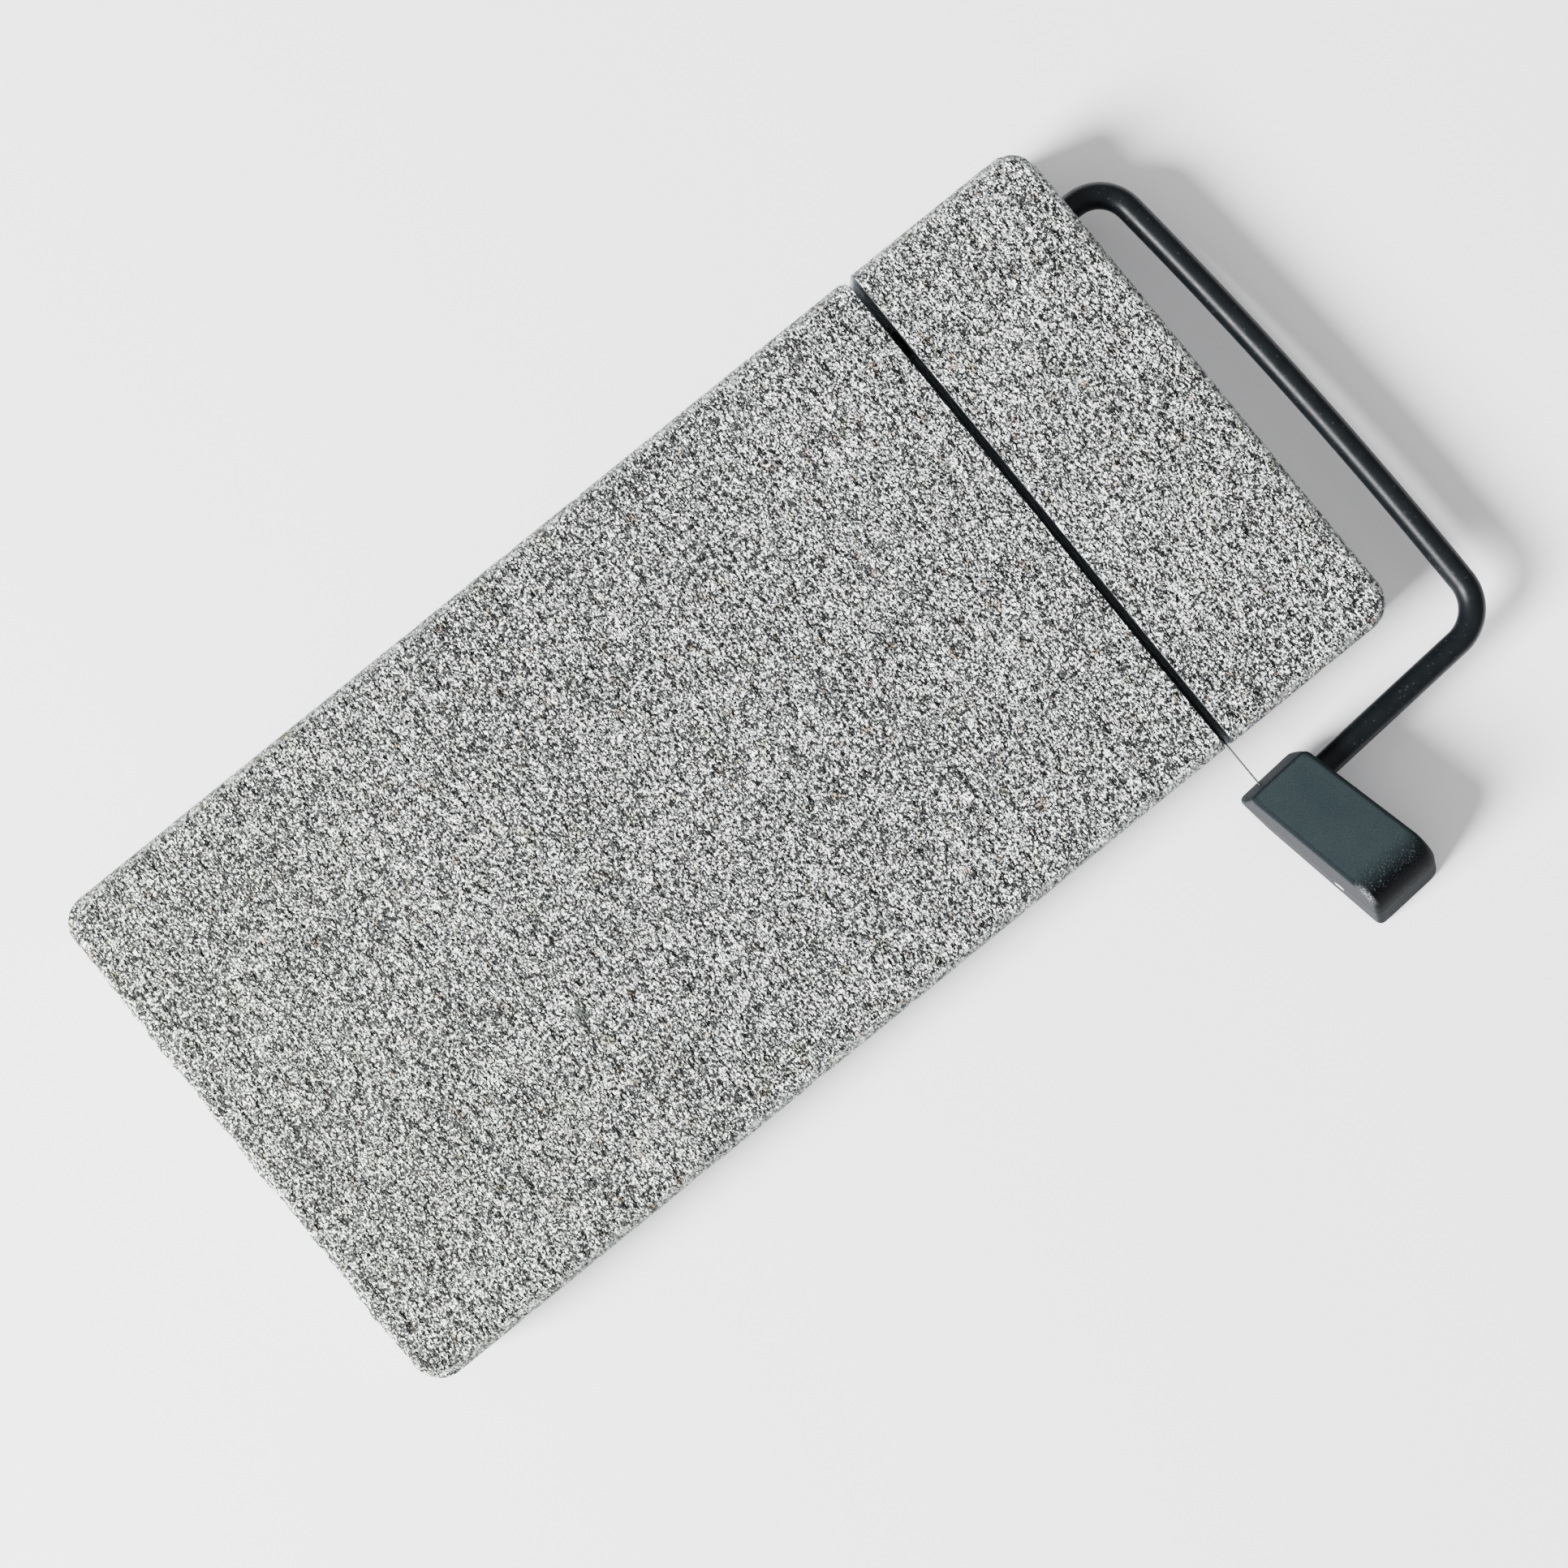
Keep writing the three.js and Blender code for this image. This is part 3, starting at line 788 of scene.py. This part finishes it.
def granite_lightness(look, along, grains, x):
    """How light the stone is, from 0 to 1: crystals of three sizes, slow clouding and black strokes."""
    cloud = look.noise(along, 0.11, 3.0, 0.6)
    patches = look.channel(look.cells(grains, 0.9), "Red")
    small = look.channel(look.cells(grains, 3.2), "Red")
    fine = look.noise(grains, 2.4, 2.0, 0.7)
    share = look.math("MULTIPLY", granite_strokes(look, along, grains), 2.0)
    for pattern, weight in ((fine, 3.6), (patches, 0.25), (small, 1.2), (cloud, 0.4)):
        share = look.math("ADD", share, weighed(look, pattern, weight))
    towards_bow = look.spread(x, 0.0, slab_high.x / MM, 0.3, 0.4)
    return look.math("ADD", share, towards_bow)


def granite_flecks(look, base, along, grains, x):
    """Adds a few dark inclusions, rusty flecks, mossy flecks, and a stain towards the rough end."""
    spots = look.node("ShaderNodeTexVoronoi", Vector=grains, Scale=0.03)
    dark_spot = look.spread(spots.outputs["Distance"], 0.025, 0.05, 1.0, 0.0)
    base = look.mix(look.math("MULTIPLY", dark_spot, 0.85), base, (0.02, 0.024, 0.022, 1.0))
    rust = look.spread(look.noise(along, 0.5, 2.0, 0.5), 0.63, 0.7)
    base = look.mix(look.math("MULTIPLY", rust, 0.75), base, (0.3, 0.18, 0.08, 1.0), "MULTIPLY")
    moss = look.spread(look.noise(along, 0.33, 2.0, 0.5), 0.63, 0.7)
    base = look.mix(look.math("MULTIPLY", moss, 0.4), base, (0.55, 0.62, 0.3, 1.0), "MULTIPLY")
    stained = look.spread(x, 20.0, slab_low.x / MM, 0.0, 0.7)
    return look.mix(stained, base, (0.9, 0.96, 0.83, 1.0), "MULTIPLY")


def slot_painted_shade(look, base, x, z):
    """The saw cut's walls get painted shade: darkest at the mouth, with paler stone dust deeper down."""
    offset = look.math("ABSOLUTE", look.math("SUBTRACT", x, slab_mid.x / MM + SLOT_X))
    inside = look.math("LESS_THAN", offset, SLOT_WIDTH / 2 + RAG_REACH)
    below = look.spread(z, SLAB_TOP - 0.7, SLAB_TOP - 0.2, 1.0, 0.0)
    shaded_walls = look.math("MULTIPLY", inside, below)
    # Painted shade near the mouth, paler stone dust deeper down
    dust = look.ramp(
        look.spread(z, SLAB_TOP, SLOT_FLOOR),
        [(0.0, (0.01, 0.0125, 0.014)), (0.15, (0.025, 0.03, 0.033)), (0.6, (0.25, 0.29, 0.31))],
    )
    return look.mix(look.math("MULTIPLY", shaded_walls, 0.95), base, dust)


def granite_relief(look, place, upright):
    """The top is textured: long low swells with fine pits. Upright surfaces have less of both."""
    swell = look.noise(look.vector("MULTIPLY", place, (0.62, 0.28, 0.6)), 1.0, 3.0, 0.65)
    pits = look.noise(place, 2.4, 4.0, 0.6)
    flat = look.math("SUBTRACT", 1.0, look.math("MULTIPLY", upright, 0.7))
    normal = look.bump(swell, flat, 1.9 * MM)
    return look.bump(pits, look.math("MULTIPLY", flat, 0.5), 0.12 * MM, normal)


def granite_look():
    """Fine salt-and-pepper granite: pale feldspar, grey quartz and strings of black mica."""
    look = Look("granite")
    place = look.millimetres()
    x, y, z = look.axes(place)
    along, grains = granite_grains(look, place)
    share = granite_lightness(look, along, grains, x)

    # The rounded arrises and the sides are ground smoother, so they look greyer and calmer;
    # the end away from the bow is left rough
    upright = look.spread(look.upward(), 0.955, 0.9995, 1.0, 0.0)
    upright = look.math("MULTIPLY", upright, look.spread(look.facing()["X"], -0.3, -0.05))
    calm = look.math("ADD", look.math("MULTIPLY", share, 0.22), 0.42)
    share = look.blend(look.math("MULTIPLY", upright, 0.85), share, calm)
    stone = [
        (0.0, (0.004, 0.0045, 0.0048)),
        (0.16, (0.022, 0.0245, 0.025)),
        (0.34, (0.095, 0.103, 0.102)),
        (0.5, (0.2, 0.213, 0.21)),
        (0.68, (0.42, 0.44, 0.433)),
        (0.92, (0.97, 1.0, 0.98)),
    ]
    base = granite_flecks(look, look.ramp(share, stone), along, grains, x)
    # The saw cut's walls get painted shade
    base = slot_painted_shade(look, base, x, z)
    normal = granite_relief(look, place, upright)
    rough = look.spread(look.noise(place, 0.8, 3.0), 0.3, 0.7, 0.5, 0.7)
    return look.finish(Base_Color=base, Roughness=rough, Normal=normal, Specular_IOR_Level=0.2)


def powder_coat_look():
    """Black powder coat: fine orange peel, a soft sheen and a few grains of dust."""
    look = Look("powder_coat")
    place = look.millimetres()
    peel = look.noise(place, 2.2, 3.0, 0.6)
    darker, paler = (0.0016, 0.0026, 0.0034), (0.0038, 0.0048, 0.0058)
    tone = look.ramp(look.noise(place, 0.25, 3.0), [(0.3, darker), (0.7, paler)])
    dust = look.spread(look.channel(look.cells(place, 3.0), "Red"), 0.975, 0.99)
    tone = look.mix(look.math("MULTIPLY", dust, 0.3), tone, (0.04, 0.045, 0.05, 1.0))
    rough = look.spread(look.noise(place, 0.6, 3.0), 0.3, 0.7, 0.31, 0.41)
    normal = look.bump(peel, 0.35, 0.06 * MM)
    return look.finish(Base_Color=tone, Roughness=rough, Normal=normal, Specular_IOR_Level=0.12)


# How far along the handle the worn arris and the pale spot are, and the pale spot's height
WORN_AT = 30
PALE_SPOT_AT = 27
PALE_SPOT_HEIGHT = 6
PALE_SPOT_SIZE = (1.2, 0.9)


def painted_shade_on_ends(look, tone, facing):
    """Both ends of the handle get painted shade: the faces that look along the handle are darkened."""
    ends = look.spread(look.math("ABSOLUTE", facing["Y"]), 0.6, 0.85)
    return look.mix(look.math("MULTIPLY", ends, 0.65), tone, (0.0015, 0.0022, 0.003, 1.0))


def painted_sheen_side(look, tone, left, arris, grain):
    """The side facing -x gets a painted reflection of the bright floor, a dry grey, and the arris above
    it gets painted shade.
    """
    side = look.spread(look.math("ADD", left, weighed(look, grain, 0.3)), 0.8, 0.93)
    tone = look.mix(look.math("MULTIPLY", arris, 0.65), tone, (0.002, 0.003, 0.004, 1.0))
    return look.mix(side, tone, (0.022, 0.0233, 0.0255, 1.0))


def painted_nose_shade_and_glints(look, tone, place, along, facing, grain):
    """The nose gets painted shade, near black, and single grains get painted glints, mostly at its
    border.
    """
    reached = look.math("ADD", along, weighed(look, grain, 5.0))
    nose = look.math("MULTIPLY", look.spread(reached, 24.5, 30.5), look.spread(facing["Z"], 0.4, 0.55))
    tone = look.mix(nose, tone, (0.0006, 0.001, 0.0016, 1.0))
    specks = look.channel(look.cells(place, 6.0), "Red")
    border = look.math("ADD", look.math("MULTIPLY", nose, look.spread(facing["Z"], 0.75, 0.95)), 0.08)
    painted_glint = look.math("MULTIPLY", look.spread(specks, 0.92, 0.98), border)
    return look.mix(painted_glint, tone, (0.065, 0.072, 0.073, 1.0))


def worn_arris(look, tone, place, along, arris):
    """One stretch of the arris near the nose is worn through the grain."""
    from_worn = look.math("ABSOLUTE", look.math("SUBTRACT", along, WORN_AT))
    worn = look.math("MULTIPLY", look.spread(from_worn, 0.5, 3.6, 1.0, 0.0), arris)
    worn = look.math("MULTIPLY", worn, look.spread(look.noise(place, 5.0, 2.0, 0.7), 0.48, 0.56))
    return look.mix(worn, tone, (0.2, 0.21, 0.21, 1.0))


def side_pale_spot(look, tone, along, z, left):
    """The side has one pale oval spot."""
    over = look.math("DIVIDE", look.math("SUBTRACT", along, PALE_SPOT_AT), PALE_SPOT_SIZE[0])
    above = look.math("DIVIDE", look.math("SUBTRACT", z, PALE_SPOT_HEIGHT), PALE_SPOT_SIZE[1])
    spot = look.math("ADD", look.math("MULTIPLY", over, over), look.math("MULTIPLY", above, above))
    pale_spot = look.math("MULTIPLY", look.spread(spot, 0.8, 1.1, 1.0, 0.0), look.spread(left, 0.8, 0.9))
    return look.mix(pale_spot, tone, (0.7, 0.71, 0.73, 1.0))


def handle_plastic_look():
    """Slate-black plastic with a fine matte grain, with painted shade on its ends, arris and nose, a
    painted reflection on its -x side, painted glints, one worn stretch of arris and one pale spot.
    """
    look = Look("handle_plastic")
    place = look.millimetres()
    x, y, z = look.axes(place)
    along = look.math("SUBTRACT", slab_mid.y / MM + WIRE_ENTRY.y, y)
    facing = look.facing()
    left = look.math("MULTIPLY", facing["X"], -1.0)
    arris = look.math("MULTIPLY", look.spread(left, 0.08, 0.3), look.spread(left, 0.78, 0.95, 1.0, 0.0))
    grain = look.noise(place, 4.5, 3.0, 0.75)
    darker, paler = (0.0115, 0.0175, 0.02), (0.015, 0.021, 0.0225)
    tone = look.ramp(look.noise(place, 0.12, 3.0), [(0.3, darker), (0.7, paler)])
    tone = painted_shade_on_ends(look, tone, facing)
    tone = painted_sheen_side(look, tone, left, arris, grain)
    tone = painted_nose_shade_and_glints(look, tone, place, along, facing, grain)
    tone = worn_arris(look, tone, place, along, arris)
    mottle = look.spread(look.noise(place, 3.2, 3.0, 0.7), 0.3, 0.7, 0.72, 1.28)
    tone = look.mix(1.0, tone, mottle, "MULTIPLY")
    tone = side_pale_spot(look, tone, along, z, left)
    rough = look.spread(grain, 0.3, 0.7, 0.55, 0.75)
    normal = look.bump(grain, 0.8, 0.08 * MM)
    return look.finish(Base_Color=tone, Roughness=rough, Normal=normal, Specular_IOR_Level=0.03)


def wire_look():
    look = Look("wire")
    place = look.millimetres()
    rough = look.spread(look.noise(place, 3.0, 2.0), 0.3, 0.7, 0.22, 0.36)
    # The steel is painted near black: painted shade standing in for the dark surroundings it reflects
    return look.finish(Base_Color=(0.05, 0.05, 0.05, 1.0), Metallic=1.0, Roughness=rough)


def zinc_look():
    look = Look("zinc")
    place = look.millimetres()
    tone = look.ramp(look.noise(place, 1.5, 3.0), [(0.3, (0.42, 0.43, 0.44)), (0.7, (0.6, 0.6, 0.61))])
    rough = look.spread(look.noise(place, 3.0, 3.0), 0.3, 0.7, 0.3, 0.5)
    return look.finish(Base_Color=tone, Metallic=1.0, Roughness=rough)


def nylon_look():
    look = Look("nylon")
    place = look.millimetres()
    tone = look.ramp(look.noise(place, 0.4, 3.0), [(0.3, (0.6, 0.57, 0.5)), (0.7, (0.7, 0.67, 0.6))])
    return look.finish(Base_Color=tone, Roughness=0.5)


def rubber_look():
    look = Look("rubber")
    place = look.millimetres()
    darker, paler = (0.015, 0.016, 0.018), (0.03, 0.031, 0.033)
    tone = look.ramp(look.noise(place, 0.8, 3.0), [(0.3, darker), (0.7, paler)])
    normal = look.bump(look.noise(place, 5.0, 3.0), 0.3, 0.05 * MM)
    return look.finish(Base_Color=tone, Roughness=0.75, Normal=normal)


def floor_look():
    look = Look("floor")
    return look.finish(Base_Color=(0.82, 0.82, 0.84, 1.0), Roughness=0.8)


LOOKS = {
    "granite": granite_look(),
    "powder_coat": powder_coat_look(),
    "handle_plastic": handle_plastic_look(),
    "wire": wire_look(),
    "zinc": zinc_look(),
    "nylon": nylon_look(),
    "rubber": rubber_look(),
}


# --- pieces -----------------------------------------------------------------------------------------

BODIES = {node: body for body, nodes in frame["record"]["behaviour"]["bodies"].items() for node in nodes}
SLOTS = {part["node"]: part["material_slot"] for part in frame["record"]["subparts"]}


def install(obj, node):
    """Put a finished piece in the CAD node's place."""
    obj.data.materials.clear()
    obj.data.materials.append(LOOKS[SLOTS[node]])
    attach(obj, BODIES[node])
    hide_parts(node)


install(make_slab(), "granite_slab")
install(make_sleeve(), "pivot_sleeve")
for number in range(1, 5):
    install(make_foot(f"rubber_foot_{number}"), f"rubber_foot_{number}")
install(make_rod(), "bow_rod")
install(make_wire(), "cutting_wire")
install(make_ferrule("hinge_ferrule", -ROD_RADIUS + GAP, PIVOT_FERRULE, 1), "pivot_ferrule")
grip_from = WIRE_SPAN + ROD_RADIUS + GAP
install(make_ferrule("grip_ferrule", grip_from, HANDLE_FERRULE, 3), "handle_ferrule")
install(make_upper_shell(), "handle_upper_shell")
install(make_lower_shell(), "handle_lower_shell")
for number, place_st in enumerate(SCREW_PLACES, 1):
    install(make_screw(f"shell_screw_{number}", place_st), f"handle_screw_{number}")


# --- stage: floor, light, camera --------------------------------------------------------------------

# Lengths in metres. FRAME_WIDTH is how much of the table the picture shows across, at its focus.
# CAMERA_TILT is in degrees, about the camera's own right, up and back.
CAMERA_HEIGHT = 0.448
FRAME_WIDTH = 0.31608
FLOOR_TO_FOCUS = 0.002
CAMERA_BACK = 0.0206
CAMERA_TILT = (1.486, 0.195, -0.142)
SLAB_TURN = math.radians(38.9)
HORIZON_LIGHT = 0.08
ZENITH_LIGHT = 1.1


def make_floor():
    bpy.ops.mesh.primitive_plane_add(size=6, location=(0, 0, 0))
    floor = bpy.context.object
    floor.name = "floor"
    floor.data.materials.append(floor_look())


def camera_axes():
    """The camera's right, up and back directions, nearly straight down, with the slab turned in view."""
    right = Vector((math.cos(SLAB_TURN), -math.sin(SLAB_TURN), 0))
    above = Vector((math.sin(SLAB_TURN), math.cos(SLAB_TURN), 0))
    level = Matrix((right, above, Vector((0, 0, 1)))).transposed()
    tilt = Vector([math.radians(angle) for angle in CAMERA_TILT])
    return level @ Matrix.Rotation(tilt.length, 3, tilt.normalized())


def make_camera():
    data = bpy.data.cameras.new("camera")
    data.sensor_width = 36
    data.lens = data.sensor_width * (CAMERA_HEIGHT + FLOOR_TO_FOCUS) / FRAME_WIDTH
    camera = bpy.data.objects.new("camera", data)
    bpy.context.scene.collection.objects.link(camera)
    place = Vector((slab_mid.x, slab_mid.y - CAMERA_BACK, slab_high.z + CAMERA_HEIGHT))
    camera.matrix_world = Matrix.Translation(place) @ camera_axes().to_4x4()
    data.clip_start = 0.01
    bpy.context.scene.camera = camera


def make_light(name, place, size, power):
    data = bpy.data.lights.new(name, "AREA")
    data.shape = "DISK"
    data.size = size
    data.energy = power
    light = bpy.data.objects.new(name, data)
    light.location = place
    light.rotation_mode = "QUATERNION"
    light.rotation_quaternion = (slab_mid - Vector(place)).to_track_quat("-Z", "Y")
    bpy.context.scene.collection.objects.link(light)


def make_world():
    """Even light from above that fades towards the horizon."""
    world = bpy.data.worlds.new("world")
    world.use_nodes = True
    tree = world.node_tree
    background = tree.nodes["Background"]
    background.inputs["Color"].default_value = (1.0, 1.0, 1.0, 1.0)
    direction = tree.nodes.new("ShaderNodeTexCoord")
    split = tree.nodes.new("ShaderNodeSeparateXYZ")
    strength = tree.nodes.new("ShaderNodeMapRange")
    strength.inputs["From Min"].default_value = 0.0
    strength.inputs["From Max"].default_value = 0.9
    strength.inputs["To Min"].default_value = HORIZON_LIGHT
    strength.inputs["To Max"].default_value = ZENITH_LIGHT
    tree.links.new(direction.outputs["Generated"], split.inputs[0])
    tree.links.new(split.outputs["Z"], strength.inputs["Value"])
    tree.links.new(strength.outputs["Result"], background.inputs["Strength"])
    bpy.context.scene.world = world


make_floor()
make_camera()
make_world()
make_light("key", (-2.3, 0.3, 1.38), 1.15, 540)
